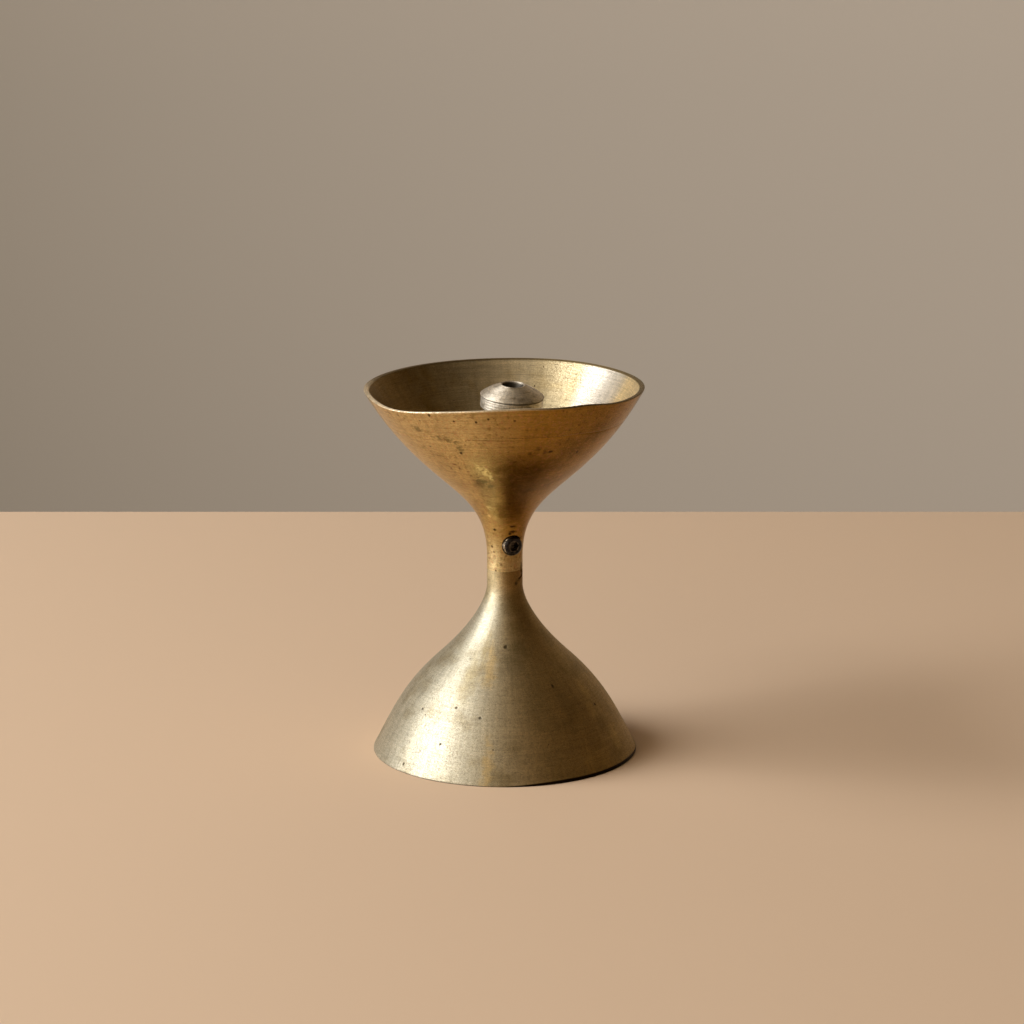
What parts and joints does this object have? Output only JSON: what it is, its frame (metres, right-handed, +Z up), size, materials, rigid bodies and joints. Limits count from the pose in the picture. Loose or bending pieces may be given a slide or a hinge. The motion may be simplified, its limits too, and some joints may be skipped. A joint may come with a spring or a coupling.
{
  "type": "standing diya",
  "caption": "Turned brass standing oil lamp: a bowl with a wick tube on a hollow bell foot, held at the neck by a set screw.",
  "frame": {"origin": "middle of the foot's resting ring, on the table", "axes": "+Z up the lamp's turning axis; -Y towards the side that the picture was taken from; +X to the picture's right"},
  "size_m": [0.0603, 0.0593, 0.0816],
  "materials": {
    "foot_brass": "fine turned satin, dulled with age to a pale greenish brass",
    "bowl_brass": "fine turned satin, warm orange-gold, with casting pits and light tarnish",
    "stud_brass": "plain turned",
    "wick_brass": "turned with fine ridges, greyed by heat and oil",
    "screw_steel": "blackened"
  },
  "bodies": {
    "foot": {"foot_bell": "foot_brass", "neck_stud": "stud_brass"},
    "bowl": {"oil_bowl": "bowl_brass"},
    "screw": {"grub_screw": "screw_steel"},
    "wick_holder": {"wick_tube": "wick_brass", "wick_collar": "wick_brass"},
    "cap": {"wick_cap": "wick_brass"}
  },
  "joints": [
    {"name": "bowl_lift", "type": "slide", "parent": "foot", "child": "bowl", "axis": [0, 0, 1], "range_m": [0, 0.012]},
    {"name": "screw_out", "type": "slide", "parent": "bowl", "child": "screw", "axis": [0.3987, -0.9171, 0], "range_m": [0, 0.0035]},
    {"name": "wick_holder_lift", "type": "slide", "parent": "bowl", "child": "wick_holder", "axis": [0.061, -0.0731, 0.9955], "range_m": [0, 0.032]},
    {"name": "wick_cap_lift", "type": "slide", "parent": "wick_holder", "child": "cap", "axis": [0.061, -0.0731, 0.9955], "range_m": [0, 0.008]}
  ]
}
